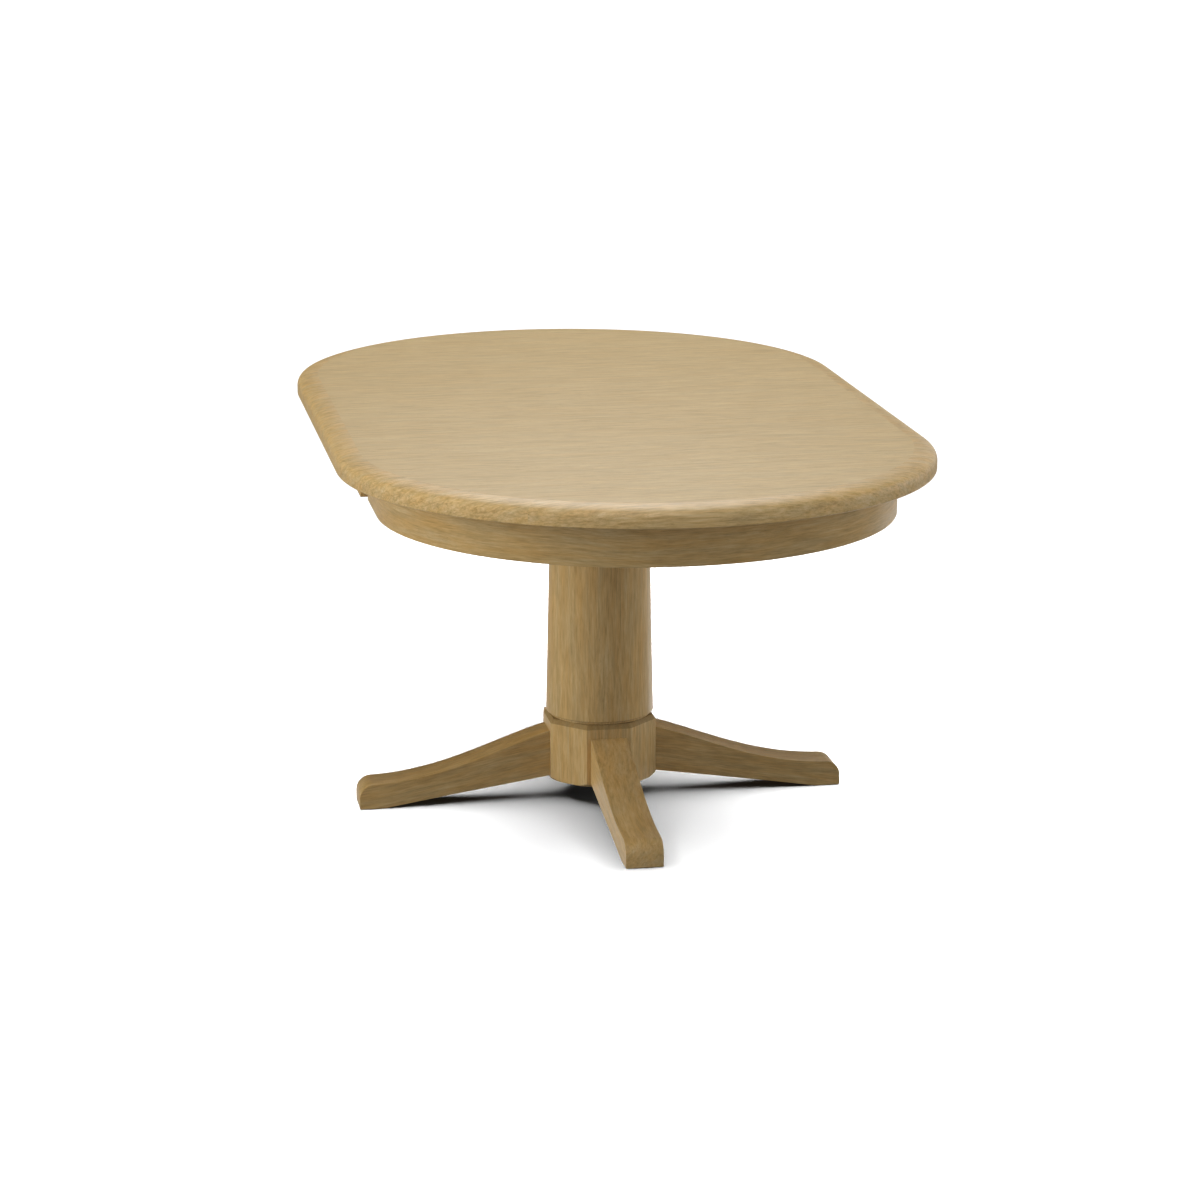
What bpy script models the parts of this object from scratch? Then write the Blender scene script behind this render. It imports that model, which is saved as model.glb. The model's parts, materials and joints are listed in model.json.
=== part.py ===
"""Extending pedestal table with one loose leaf, shown open with the leaf in place.

Metres, +Z up. The origin is on the floor under the pedestal's axis. +Y is the direction in which the
rear half of the top pulls out, and +X runs across the table, along the seams.
"""

import math

import bmesh
import bpy
from mathutils import Matrix, Vector

# Driving sizes
HEIGHT = 0.762
HALF_WIDTH = 0.5334
LEAF_WIDTH = 0.4572
STRAIGHT = 0.1397  # straight side of each half, from its seam to the start of its round end
GAP = 0.0003  # left between pieces that touch
CUT_PAST = 0.01  # how far a cutter runs past the face it opens
ENDS = {"front": -1, "rear": 1}
SIDES = {"left": -1, "right": 1}

# Top
PANEL_THICK = 0.025
EDGE_WIDTH = 0.041
SEAM = LEAF_WIDTH / 2
END_CENTRE = SEAM + STRAIGHT
PANEL_RADIUS = HALF_WIDTH - EDGE_WIDTH
PANEL_BOTTOM = HEIGHT - PANEL_THICK
END_STEPS = 32

# The solid edge, as (inset from the widest line, drop from the top face)
EDGE_PROFILE = (
    (EDGE_WIDTH, 0.0),
    (0.030, 0.0008),
    (0.019, 0.0030),
    (0.009, 0.0068),
    (0.0042, 0.0110),
    (0.0012, 0.0160),
    (0.0, 0.0218),
    (0.0, 0.0300),
    (0.0005, 0.0345),
    (0.0022, 0.0367),
    (EDGE_WIDTH, 0.0367),
)

# Aprons
APRON_THICK = 0.019
APRON_RADIUS = 0.4643
APRON_BOTTOM = 0.645
LEAF_APRON_OUT = 0.4775
LEAF_APRON_BOTTOM = 0.651

# Pedestal
COLUMN_BOTTOM = 0.1637
COLUMN_SHOULDER = 0.1690
COLUMN_TOP = 0.6397
COLUMN_TAPER = 0.021  # radius lost per metre of height
COLUMN_FOOT_RADIUS = 0.1062 - COLUMN_TAPER * COLUMN_SHOULDER
COLUMN_NECK_RADIUS = 0.096
COLUMN_BORE = 0.030
HUB_SIDES = 8
HUB_FLAT = 0.102  # distance from the axis to each of the eight sides; every other side carries a leg
HUB_BOTTOM = 0.042
HUB_TOP = 0.1634
HUB_BORE = 0.040
HUB_CHAMFER = (0.0055, 0.0085)  # across, down
HUB_FOOT_RADIUS = 0.1035  # the bottom is turned to this radius, which takes the corners off
HUB_FOOT_RISE = 0.0085
ROUND_STEPS = 48

# Legs, in a leg's own plane: distance from the pedestal's axis, and height
LEG_WIDTH = 0.0694
LEG_REACH = 0.4680
LEG_TOP_CURVE = ((HUB_FLAT + GAP, 0.1370), (0.200, 0.110), (0.300, 0.053), (0.440, 0.0488))
LEG_TOP_STEPS = 12
TOE_RADIUS = 0.028
TOE_STEPS = 6
LEG_SOLE = 0.0015  # the glide holds the toe this far off the floor
LEG_ROOT_BOTTOM = 0.0500
LEG_BELLY_CURVE = ((0.300, 0.0205), (0.345, 0.0138), (0.390, 0.0062), (0.420, LEG_SOLE))
LEG_BELLY_STEPS = 5
LEG_ANGLES = {"front": -90, "rear": 90, "left": 180, "right": 0}

GLIDE_RADIUS = 0.012
GLIDE_HEIGHT = 0.005
GLIDE_REACH = 0.440
GLIDE_ARRIS = 0.001

# Ironmongery of the pedestal
BOLT_HEIGHT = 0.096
BOLT_RADIUS = 0.004
BOLT_HEAD_START = 0.0330
BOLT_HEAD_END = 0.0386
BOLT_HEAD_HALF = 0.0065  # half the width across flats
BOLT_END = 0.160
HOLE_CLEARANCE = 0.0003
TIE_ROD_RADIUS = 0.006
TIE_ROD_BOTTOM = 0.0260
TIE_ROD_TOP = 0.6775
NUT_HALF = 0.0095
NUT_HEIGHT = 0.0098
BASE_PLATE_RADIUS = 0.078
BASE_PLATE_THICK = 0.004
ROD_STEPS = 16
BOLT_STEPS = 24

# Top frame of the pedestal
TOP_PLATE_HALF = (0.130, 0.165)
TOP_PLATE_BOTTOM = COLUMN_TOP + GAP
TOP_PLATE_THICK = 0.024
CLEAT_HALF = (0.260, 0.025)
CLEAT_CENTRE = 0.130
CLEAT_BOTTOM = TOP_PLATE_BOTTOM + TOP_PLATE_THICK + GAP
RAIL_BOTTOM = 0.694
RAIL_TOP = PANEL_BOTTOM - 0.0033
RAIL_CENTRE = 0.211
RAIL_WIDTH = 0.022
RAIL_HALF_LENGTH = 0.360
CLEAT_TOP = RAIL_BOTTOM - GAP
STRETCHER_THICK = 0.0127
STRETCHER_HALF = (RAIL_CENTRE + RAIL_WIDTH / 2, 0.035)

# Runners of the halves: a tongue on each runs in a groove of the fixed rail
RUNNER_WIDTH = 0.022
RUNNER_BOTTOM = 0.699
RUNNER_TOP = PANEL_BOTTOM - GAP
RUNNER_OUTER_END = 0.700
RUNNER_INNER_END = 0.140  # past the middle of the table
TONGUE_BOTTOM = 0.710
TONGUE_HEIGHT = 0.008
TONGUE_LENGTH = 0.006
SLIDE_CLEARANCE = 0.0005

# Equalizer gear: one rack on each half and a pinion between them, so the halves open together
MODULE = 0.003
TEETH = 16
PRESSURE_ANGLE = math.radians(20)
ADDENDUM = 0.8 * MODULE
DEDENDUM = 1.0 * MODULE
BACKLASH = 0.0004
FLANK_STEPS = 4
PITCH_RADIUS = MODULE * TEETH / 2
TOOTH_PITCH = math.pi * MODULE
RACK_BACK = 0.0370  # distance from the table's middle line to a rack's back
RACK_OUTER_END = 0.440
RACK_TEETH = range(-27, 7)  # counted from the tooth at the pinion, inwards
RACK_INNER_END = 0.070
RACK_BOTTOM = 0.7225
RACK_TOP = PANEL_BOTTOM - GAP
PINION_BOTTOM = 0.7228
PINION_TOP = 0.7342
AXLE_RADIUS = 0.005
AXLE_FLANGE = 0.009
AXLE_HEAD = 0.0085
AXLE_STEPS = 32
PINION_BORE = 0.0051

# Tenons that line the leaf up with the halves, and the open slots that take them
TENON_PLACE = 0.420
TENON_SIZE = (0.020, 0.021, 0.008)
TENON_REACH = 0.009  # how far it stands out of the seam face
TENON_BOTTOM = 0.7430
TENON_CLEARANCE = 0.0005

# Swivel latches that pull the leaf tight: each hook swings round a stud under the leaf
LATCH_PLACE = 0.340
LATCH_SETBACK = 0.035  # pivot to seam
STUD_SETBACK = 0.030  # seam to stud
LATCH_REACH = LATCH_SETBACK + STUD_SETBACK
LATCH_HALF = 0.009
LATCH_BOTTOM = 0.7310
LATCH_TOP = 0.7340
LATCH_NOTCH_HALF = 0.0042
LATCH_NOTCH_FLOOR = -0.0045
LATCH_TIP = 0.011
LATCH_CORNER = 0.003
LATCH_BORE = 0.0032
LATCH_ROUND_STEPS = 8
PIVOT_RADIUS = 0.003
PIVOT_COLLAR = 0.0055
PIVOT_HEAD = 0.0065
PIVOT_HEAD_THICK = 0.0025
SCREW_TOP = 0.749
SCREW_HOLE = 0.0033
STUD_BOTTOM = 0.7265

# colour, roughness, metallic
FINISHES = {
    "veneer": ((0.50, 0.38, 0.22), 0.45, 0.0),
    "edge": ((0.45, 0.33, 0.17), 0.45, 0.0),
    "base": ((0.40, 0.29, 0.15), 0.50, 0.0),
    "hidden": ((0.55, 0.42, 0.26), 0.70, 0.0),
    "steel": ((0.55, 0.55, 0.56), 0.35, 1.0),
    "nylon": ((0.75, 0.74, 0.70), 0.55, 0.0),
}
SHARP = math.radians(35)


# Helpers


def clear_scene():
    for obj in list(bpy.data.objects):
        bpy.data.objects.remove(obj)


def finish(name, kind):
    """A material of the piece's own, in one of the table's finishes."""
    colour, roughness, metallic = FINISHES[kind]
    made = bpy.data.materials.new(f"{name}_finish")
    made.use_nodes = True
    shader = made.node_tree.nodes["Principled BSDF"]
    shader.inputs["Base Color"].default_value = (*colour, 1.0)
    shader.inputs["Roughness"].default_value = roughness
    shader.inputs["Metallic"].default_value = metallic
    made.diffuse_color = (*colour, 1.0)
    return made


def body_frame(name, place=(0, 0, 0)):
    """The empty that carries a body's pieces. A turning body has it on its axis."""
    made = bpy.data.objects.new(f"{name}_frame", None)
    bpy.context.scene.collection.objects.link(made)
    made.location = place
    bpy.context.view_layer.update()
    return made


def mesh_object(name, bm):
    bmesh.ops.recalc_face_normals(bm, faces=bm.faces)
    mesh = bpy.data.meshes.new(name)
    bm.to_mesh(mesh)
    bm.free()
    obj = bpy.data.objects.new(name, mesh)
    bpy.context.scene.collection.objects.link(obj)
    return obj


def piece(name, bm, kind, body):
    """Makes a piece from a bmesh in world coordinates and puts it on its body's frame."""
    bm.transform(Matrix.Translation(-body.location))
    obj = mesh_object(name, bm)
    obj.parent = body
    obj.data.shade_smooth()
    obj.data.set_sharp_from_angle(angle=SHARP)
    obj.data.materials.append(finish(name, kind))
    return obj


def cut(obj, bm, operation="DIFFERENCE"):
    """Cuts a bmesh in world coordinates out of the object, or keeps only what lies inside it."""
    name = f"{obj.name}_cutter_{len(obj.modifiers)}"
    cutter = mesh_object(name, bm)
    cutter.hide_render = True
    cutter.display_type = "WIRE"
    modifier = obj.modifiers.new(name, "BOOLEAN")
    modifier.operation = operation
    modifier.object = cutter


def prism(outline, low, high, place):
    """The outline swept straight from low to high. place turns (u, v, w) into a point."""
    bm = bmesh.new()
    face = bm.faces.new([bm.verts.new(place(u, v, low)) for u, v in outline])
    grown = bmesh.ops.extrude_face_region(bm, geom=[face])["geom"]
    moved = [v for v in grown if isinstance(v, bmesh.types.BMVert)]
    bmesh.ops.translate(bm, vec=Vector(place(0, 0, high)) - Vector(place(0, 0, low)), verts=moved)
    return bm


def upright(u, v, w):
    """Places an outline in plan, swept up."""
    return (u, v, w)


def lengthways(u, v, w):
    """Places an outline across the table, swept along it."""
    return (u, w, v)


def block(x, y, z):
    """A square-edged block between pairs of limits."""
    outline = ((x[0], y[0]), (x[1], y[0]), (x[1], y[1]), (x[0], y[1]))
    return prism(outline, z[0], z[1], upright)


def span(a, b):
    return (min(a, b), max(a, b))


def loft(rings, joined=False):
    """A solid through closed rings of points. Its ends are filled, or joined to each other."""
    bm = bmesh.new()
    made = [[bm.verts.new(point) for point in ring] for ring in rings]
    pairs = list(zip(made, made[1:]))
    if joined:
        pairs.append((made[-1], made[0]))
    else:
        bm.faces.new(made[0])
        bm.faces.new(made[-1])
    for a, b in pairs:
        for i in range(len(a)):
            bm.faces.new((a[i - 1], a[i], b[i], b[i - 1]))
    return bm


def circle(radius, height, steps, sides=0, centre=(0, 0)):
    """A ring of points. With sides, it is a polygon whose radius is to the middle of a side."""
    points = []
    for step in range(steps):
        angle = 2 * math.pi * step / steps
        reach = radius
        if sides:
            half = math.pi / sides
            reach = radius / math.cos((angle + half) % (2 * half) - half)
        x = centre[0] + reach * math.cos(angle)
        y = centre[1] + reach * math.sin(angle)
        points.append((x, y, height))
    return points


def turned(profile, steps, bore=None, centre=(0, 0)):
    """A turned solid. The profile runs up its outside as (radius, height) or (radius, height, sides)."""
    rings = [circle(p[0], p[1], steps, *p[2:], centre=centre) for p in profile]
    if bore is None:
        return loft(rings)
    ends = (profile[-1][1], profile[0][1])
    return loft(rings + [circle(bore, z, steps, centre=centre) for z in ends], joined=True)


def rod(radius, low, high, centre=(0, 0), steps=ROD_STEPS):
    return turned(((radius, low), (radius, high)), steps, centre=centre)


def bezier(control, steps):
    """Points along a cubic curve, its ends included."""
    start, pull_out, pull_in, end = (Vector(p) for p in control)
    points = []
    for step in range(steps + 1):
        t = step / steps
        s = 1 - t
        points.append(s**3 * start + 3 * s * s * t * pull_out + 3 * s * t * t * pull_in + t**3 * end)
    return points


def laid_out(bm, angle, height):
    """Turns a solid made about +Z to lie outwards from the pedestal's axis at this angle and height."""
    spin = Matrix.Rotation(math.radians(angle), 4, "Z") @ Matrix.Rotation(math.pi / 2, 4, "Y")
    bm.transform(Matrix.Translation((0, 0, height)) @ spin)
    return bm


# The pedestal


def make_column(body):
    top_radius = COLUMN_FOOT_RADIUS - COLUMN_TAPER * (COLUMN_TOP - COLUMN_SHOULDER)
    profile = (
        (COLUMN_NECK_RADIUS, COLUMN_BOTTOM),
        (COLUMN_NECK_RADIUS, COLUMN_SHOULDER),
        (COLUMN_FOOT_RADIUS, COLUMN_SHOULDER),
        (top_radius, COLUMN_TOP),
    )
    piece("column", turned(profile, ROUND_STEPS, COLUMN_BORE), "base", body)


def make_hub(body):
    across, down = HUB_CHAMFER
    profile = (
        (HUB_FOOT_RADIUS, HUB_BOTTOM),
        (HUB_FOOT_RADIUS + HUB_FOOT_RISE, HUB_BOTTOM + HUB_FOOT_RISE),
        (HUB_FOOT_RADIUS + HUB_FOOT_RISE, HUB_TOP),
    )
    hub = piece("hub", turned(profile, ROUND_STEPS, HUB_BORE), "base", body)
    levels = (
        (HUB_FLAT, HUB_BOTTOM - CUT_PAST),
        (HUB_FLAT, HUB_TOP - down),
        (HUB_FLAT - across, HUB_TOP),
        (HUB_FLAT - across, HUB_TOP + CUT_PAST),
    )
    octagon = loft([circle(reach, z, 2 * HUB_SIDES, HUB_SIDES) for reach, z in levels])
    cut(hub, octagon, operation="INTERSECT")
    for angle in LEG_ANGLES.values():
        cut(hub, bolt_hole(angle, HUB_BORE - CUT_PAST, HUB_FLAT + CUT_PAST))


def bolt_hole(angle, start, end):
    return laid_out(rod(BOLT_RADIUS + HOLE_CLEARANCE, start, end), angle, BOLT_HEIGHT)


def leg_outline():
    """A leg's side, from the hub out along its top, down round the toe and back underneath."""
    points = bezier(LEG_TOP_CURVE, LEG_TOP_STEPS)
    centre = Vector((LEG_REACH - TOE_RADIUS, LEG_TOP_CURVE[-1][1] - TOE_RADIUS))
    for step in range(1, TOE_STEPS + 1):
        turn = math.pi / 2 * step / TOE_STEPS
        points.append(centre + TOE_RADIUS * Vector((math.sin(turn), math.cos(turn))))
    points.append(Vector((LEG_REACH, LEG_SOLE)))
    points += reversed(bezier(LEG_BELLY_CURVE, LEG_BELLY_STEPS))
    points.append(Vector((LEG_TOP_CURVE[0][0], LEG_ROOT_BOTTOM)))
    return [tuple(p) for p in points]


def make_leg(name, angle, body):
    turn = Matrix.Rotation(math.radians(angle), 4, "Z")
    along = turn @ Vector((1, 0, 0))
    bm = prism(leg_outline(), -LEG_WIDTH / 2, LEG_WIDTH / 2, lambda u, v, w: (u, w, v))
    bm.transform(turn)
    leg = piece(f"leg_{name}", bm, "base", body)
    cut(leg, bolt_hole(angle, HUB_FLAT - CUT_PAST, BOLT_END + GAP))
    foot = (along * GLIDE_REACH)[:2]
    pocket_top = GLIDE_HEIGHT + GAP
    cut(leg, rod(GLIDE_RADIUS + GAP, -CUT_PAST, pocket_top, foot))
    soft = GLIDE_ARRIS
    profile = (
        (GLIDE_RADIUS - soft, 0.0),
        (GLIDE_RADIUS, soft),
        (GLIDE_RADIUS, GLIDE_HEIGHT),
    )
    piece(f"glide_{name}", turned(profile, ROD_STEPS, centre=foot), "nylon", body)
    bolt = turned(
        (
            (BOLT_HEAD_HALF, BOLT_HEAD_START, 6),
            (BOLT_HEAD_HALF, BOLT_HEAD_END, 6),
            (BOLT_RADIUS, BOLT_HEAD_END),
            (BOLT_RADIUS, BOLT_END),
        ),
        BOLT_STEPS,
    )
    piece(f"leg_bolt_{name}", laid_out(bolt, angle, BOLT_HEIGHT), "steel", body)


def make_tie_rod(body):
    """The steel rod that clamps hub, column and top plate together, with its plate and nuts."""
    piece("tie_rod", rod(TIE_ROD_RADIUS, TIE_ROD_BOTTOM, TIE_ROD_TOP), "steel", body)
    bore = TIE_ROD_RADIUS + HOLE_CLEARANCE
    plate_top = HUB_BOTTOM - GAP
    plate_bottom = plate_top - BASE_PLATE_THICK
    plate = turned(
        ((BASE_PLATE_RADIUS, plate_bottom), (BASE_PLATE_RADIUS, plate_top)), BOLT_STEPS, bore
    )
    piece("base_plate", plate, "steel", body)
    starts = {"lower": plate_bottom - GAP - NUT_HEIGHT, "upper": CLEAT_BOTTOM}
    for name, start in starts.items():
        nut = turned(((NUT_HALF, start, 6), (NUT_HALF, start + NUT_HEIGHT, 6)), BOLT_STEPS, bore)
        piece(f"tie_rod_nut_{name}", nut, "steel", body)


def make_top_frame(body):
    """What carries the top: a plate on the column, two cleats, two fixed rails and the gear's bar."""
    half_x, half_y = TOP_PLATE_HALF
    z = (TOP_PLATE_BOTTOM, TOP_PLATE_BOTTOM + TOP_PLATE_THICK)
    plate = piece("top_plate", block((-half_x, half_x), (-half_y, half_y), z), "hidden", body)
    bore = TIE_ROD_RADIUS + HOLE_CLEARANCE
    cut(plate, rod(bore, z[0] - CUT_PAST, z[1] + CUT_PAST))
    half_x, half_y = CLEAT_HALF
    for name, side in ENDS.items():
        y = (side * CLEAT_CENTRE - half_y, side * CLEAT_CENTRE + half_y)
        cleat = block((-half_x, half_x), y, (CLEAT_BOTTOM, CLEAT_TOP))
        piece(f"{name}_cleat", cleat, "hidden", body)
    for name, side in SIDES.items():
        outline = [(side * RAIL_CENTRE + u, v) for u, v in rail_section()]
        rail = prism(outline, -RAIL_HALF_LENGTH, RAIL_HALF_LENGTH, lengthways)
        piece(f"fixed_rail_{name}", rail, "hidden", body)
    half_x, half_y = STRETCHER_HALF
    z = (CLEAT_TOP - STRETCHER_THICK, CLEAT_TOP)
    bar = block((-half_x, half_x), (-half_y, half_y), z)
    stretcher = piece("gear_stretcher", bar, "hidden", body)
    cut(stretcher, rod(AXLE_RADIUS + HOLE_CLEARANCE, z[0] - CUT_PAST, z[1] + CUT_PAST))
    axle = turned(
        (
            (AXLE_RADIUS, z[0] + GAP),
            (AXLE_RADIUS, CLEAT_TOP + GAP),
            (AXLE_FLANGE, CLEAT_TOP + GAP),
            (AXLE_FLANGE, PINION_BOTTOM - GAP),
            (AXLE_RADIUS, PINION_BOTTOM - GAP),
            (AXLE_RADIUS, PINION_TOP + GAP),
            (AXLE_HEAD, PINION_TOP + GAP),
            (AXLE_HEAD, PANEL_BOTTOM - GAP),
        ),
        AXLE_STEPS,
    )
    piece("pinion_axle", axle, "steel", body)


def rail_section():
    """A fixed rail's section: a bar with a groove along each side."""
    half = RAIL_WIDTH / 2
    floor = half - TONGUE_LENGTH - SLIDE_CLEARANCE
    low = TONGUE_BOTTOM - SLIDE_CLEARANCE
    high = TONGUE_BOTTOM + TONGUE_HEIGHT + SLIDE_CLEARANCE
    right = [(half, RAIL_BOTTOM), (half, low), (floor, low), (floor, high), (half, high), (half, RAIL_TOP)]
    return right + [(-u, v) for u, v in reversed(right)]


# The halves of the top


def half_top_line(radius, side):
    """Plan points of a half-top at this radius, from its left seam corner round to its right one."""
    points = [(-radius, side * SEAM)]
    for step in range(END_STEPS + 1):
        angle = math.pi * step / END_STEPS
        points.append((-radius * math.cos(angle), side * (END_CENTRE + radius * math.sin(angle))))
    points.append((radius, side * SEAM))
    return points


def make_half(name, side, body):
    """One half of the top. side is -1 for the front half and +1 for the rear one."""
    panel_line = half_top_line(PANEL_RADIUS - GAP, side)
    panel = piece(
        f"{name}_panel", prism(panel_line, PANEL_BOTTOM, HEIGHT, upright), "veneer", body
    )
    lines = [(half_top_line(HALF_WIDTH - inset, side), HEIGHT - drop) for inset, drop in EDGE_PROFILE]
    rings = [[(*line[i], z) for line, z in lines] for i in range(len(panel_line))]
    piece(f"{name}_edge", loft(rings), "edge", body)
    outer = half_top_line(APRON_RADIUS, side)
    inner = half_top_line(APRON_RADIUS - APRON_THICK, side)
    apron = prism(outer + inner[::-1], APRON_BOTTOM, PANEL_BOTTOM - GAP, upright)
    piece(f"{name}_apron", apron, "base", body)
    for hand, across in SIDES.items():
        make_runner(f"{name}_runner_{hand}", side, across, body)
        make_tenon(f"{name}_tenon_{hand}", side, across, body, panel)
        make_pivot(f"{name}_latch_pivot_{hand}", side, across, body, panel)
    rack = prism(rack_outline(side), RACK_BOTTOM, RACK_TOP, upright)
    piece(f"{name}_rack", rack, "nylon", body)


def make_runner(name, side, across, body):
    """A runner beside a fixed rail: outside it on the front half, inside it on the rear half."""
    away = -side
    near = RAIL_WIDTH / 2 + SLIDE_CLEARANCE
    section = (
        (near, RUNNER_BOTTOM),
        (near + RUNNER_WIDTH, RUNNER_BOTTOM),
        (near + RUNNER_WIDTH, RUNNER_TOP),
        (near, RUNNER_TOP),
        (near, TONGUE_BOTTOM + TONGUE_HEIGHT),
        (RAIL_WIDTH / 2 - TONGUE_LENGTH, TONGUE_BOTTOM + TONGUE_HEIGHT),
        (RAIL_WIDTH / 2 - TONGUE_LENGTH, TONGUE_BOTTOM),
        (near, TONGUE_BOTTOM),
    )
    outline = [(across * (RAIL_CENTRE + away * u), v) for u, v in section]
    ends = span(side * RUNNER_OUTER_END, -side * RUNNER_INNER_END)
    piece(name, prism(outline, *ends, lengthways), "hidden", body)


def make_tenon(name, side, across, body, panel):
    """A flat tenon glued into the half's seam face."""
    width, length, thick = TENON_SIZE
    x = (across * TENON_PLACE - width / 2, across * TENON_PLACE + width / 2)
    tip = SEAM - TENON_REACH
    z = (TENON_BOTTOM, TENON_BOTTOM + thick)
    piece(name, block(x, span(side * tip, side * (tip + length)), z), "hidden", body)
    mortise_y = span(side * (SEAM - CUT_PAST), side * (tip + length + GAP))
    mortise = block((x[0] - GAP, x[1] + GAP), mortise_y, (z[0] - GAP, z[1] + GAP))
    cut(panel, mortise)


def make_pivot(name, side, across, body, panel):
    """The shoulder screw that a latch swings on."""
    centre = latch_centre(side, across)
    screw = turned(
        (
            (PIVOT_HEAD, LATCH_BOTTOM - GAP - PIVOT_HEAD_THICK),
            (PIVOT_HEAD, LATCH_BOTTOM - GAP),
            (PIVOT_RADIUS, LATCH_BOTTOM - GAP),
            (PIVOT_RADIUS, LATCH_TOP + GAP),
            (PIVOT_COLLAR, LATCH_TOP + GAP),
            (PIVOT_COLLAR, PANEL_BOTTOM - GAP),
            (PIVOT_RADIUS, PANEL_BOTTOM - GAP),
            (PIVOT_RADIUS, SCREW_TOP),
        ),
        ROD_STEPS,
        centre=centre,
    )
    piece(name, screw, "steel", body)
    cut(panel, rod(SCREW_HOLE, PANEL_BOTTOM - CUT_PAST, SCREW_TOP + GAP, centre))


def rack_outline(side):
    """The front half's rack stands at -X of the pinion and the rear half's at +X."""
    lean = math.tan(PRESSURE_ANGLE)
    half = (TOOTH_PITCH - BACKLASH) / 4
    points = [(RACK_BACK, RACK_OUTER_END), (RACK_BACK, -RACK_INNER_END)]
    root = PITCH_RADIUS + DEDENDUM
    tip = PITCH_RADIUS - ADDENDUM
    points.append((root, -RACK_INNER_END))
    for tooth in reversed(RACK_TEETH):
        middle = -tooth * TOOTH_PITCH
        points.append((root, middle - half - DEDENDUM * lean))
        points.append((tip, middle - half + ADDENDUM * lean))
        points.append((tip, middle + half - ADDENDUM * lean))
        points.append((root, middle + half + DEDENDUM * lean))
    points.append((root, RACK_OUTER_END))
    return [(side * x, side * y) for x, y in points]


# The leaf


def make_leaf(body):
    end = SEAM - GAP
    reach = PANEL_RADIUS - GAP
    panel = piece(
        "leaf_panel", block((-reach, reach), (-end, end), (PANEL_BOTTOM, HEIGHT)), "veneer", body
    )
    for hand, across in SIDES.items():
        outline = [(across * (HALF_WIDTH - inset), HEIGHT - drop) for inset, drop in EDGE_PROFILE]
        piece(f"leaf_edge_{hand}", prism(outline, -end, end, lengthways), "edge", body)
        x = span(across * (LEAF_APRON_OUT - APRON_THICK), across * LEAF_APRON_OUT)
        apron = block(x, (-end, end), (LEAF_APRON_BOTTOM, PANEL_BOTTOM - GAP))
        piece(f"leaf_apron_{hand}", apron, "base", body)
        for name, side in ENDS.items():
            cut(panel, tenon_slot(side, across))
            stud = (across * LATCH_PLACE, side * (SEAM - STUD_SETBACK))
            pin = rod(PIVOT_RADIUS, STUD_BOTTOM, SCREW_TOP, stud)
            piece(f"{name}_latch_stud_{hand}", pin, "steel", body)
            cut(panel, rod(SCREW_HOLE, PANEL_BOTTOM - CUT_PAST, SCREW_TOP + GAP, stud))


def tenon_slot(side, across):
    """A slot in the leaf's seam face, open below, so that the leaf lifts off the tenons."""
    width, _, thick = TENON_SIZE
    half = width / 2 + TENON_CLEARANCE
    x = (across * TENON_PLACE - half, across * TENON_PLACE + half)
    y = span(side * (SEAM - TENON_REACH - TENON_CLEARANCE), side * (SEAM + CUT_PAST))
    z = (PANEL_BOTTOM - CUT_PAST, TENON_BOTTOM + thick + TENON_CLEARANCE)
    return block(x, y, z)


# Moving ironmongery


def latch_centre(side, across):
    return (across * LATCH_PLACE, side * (SEAM + LATCH_SETBACK))


def latch_outline():
    """A latch in its own plane: u runs along its arm, v towards the side its notch opens on."""
    points = []
    for step in range(LATCH_ROUND_STEPS + 1):
        turn = math.pi / 2 + math.pi * step / LATCH_ROUND_STEPS
        points.append((LATCH_HALF * math.cos(turn), LATCH_HALF * math.sin(turn)))
    tip = LATCH_REACH + LATCH_TIP
    points.append((tip - LATCH_CORNER, -LATCH_HALF))
    points.append((tip, -LATCH_HALF + LATCH_CORNER))
    points.append((tip, LATCH_HALF - LATCH_CORNER))
    points.append((tip - LATCH_CORNER, LATCH_HALF))
    for reach in (LATCH_NOTCH_HALF, -LATCH_NOTCH_HALF):
        corners = [(LATCH_REACH + reach, LATCH_HALF), (LATCH_REACH + reach, LATCH_NOTCH_FLOOR)]
        points += corners if reach > 0 else corners[::-1]
    return points


def make_latch(name, side, across, body):
    """A latch stored open, pointing outwards. It closes by swinging towards the leaf."""
    x, y = latch_centre(side, across)
    outline = [(x + across * u, y - side * v) for u, v in latch_outline()]
    latch = piece(name, prism(outline, LATCH_BOTTOM, LATCH_TOP, upright), "steel", body)
    cut(latch, rod(LATCH_BORE, LATCH_BOTTOM - CUT_PAST, LATCH_TOP + CUT_PAST, (x, y)))


def pinion_outline():
    """Involute teeth, with a gap facing each rack's middle tooth."""
    base = PITCH_RADIUS * math.cos(PRESSURE_ANGLE)
    root = PITCH_RADIUS - DEDENDUM
    tip = PITCH_RADIUS + ADDENDUM
    half_tooth = math.pi / (2 * TEETH) - BACKLASH / (4 * PITCH_RADIUS)
    at_pitch = math.tan(PRESSURE_ANGLE) - PRESSURE_ANGLE
    flank = [(root, half_tooth + at_pitch)]
    for step in range(FLANK_STEPS + 1):
        radius = base + (tip - base) * step / FLANK_STEPS
        roll = math.acos(base / radius)
        flank.append((radius, half_tooth + at_pitch - (math.tan(roll) - roll)))
    points = []
    for tooth in range(TEETH):
        middle = 2 * math.pi * (tooth + 0.5) / TEETH
        for way, side in ((-1, flank), (1, flank[::-1])):
            for radius, away in side:
                angle = middle + way * away
                points.append((radius * math.cos(angle), radius * math.sin(angle)))
    return points


def make_pinion(body):
    pinion = piece(
        "pinion", prism(pinion_outline(), PINION_BOTTOM, PINION_TOP, upright), "nylon", body
    )
    bore = rod(PINION_BORE, PINION_BOTTOM - CUT_PAST, PINION_TOP + CUT_PAST, steps=AXLE_STEPS)
    cut(pinion, bore)


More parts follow.
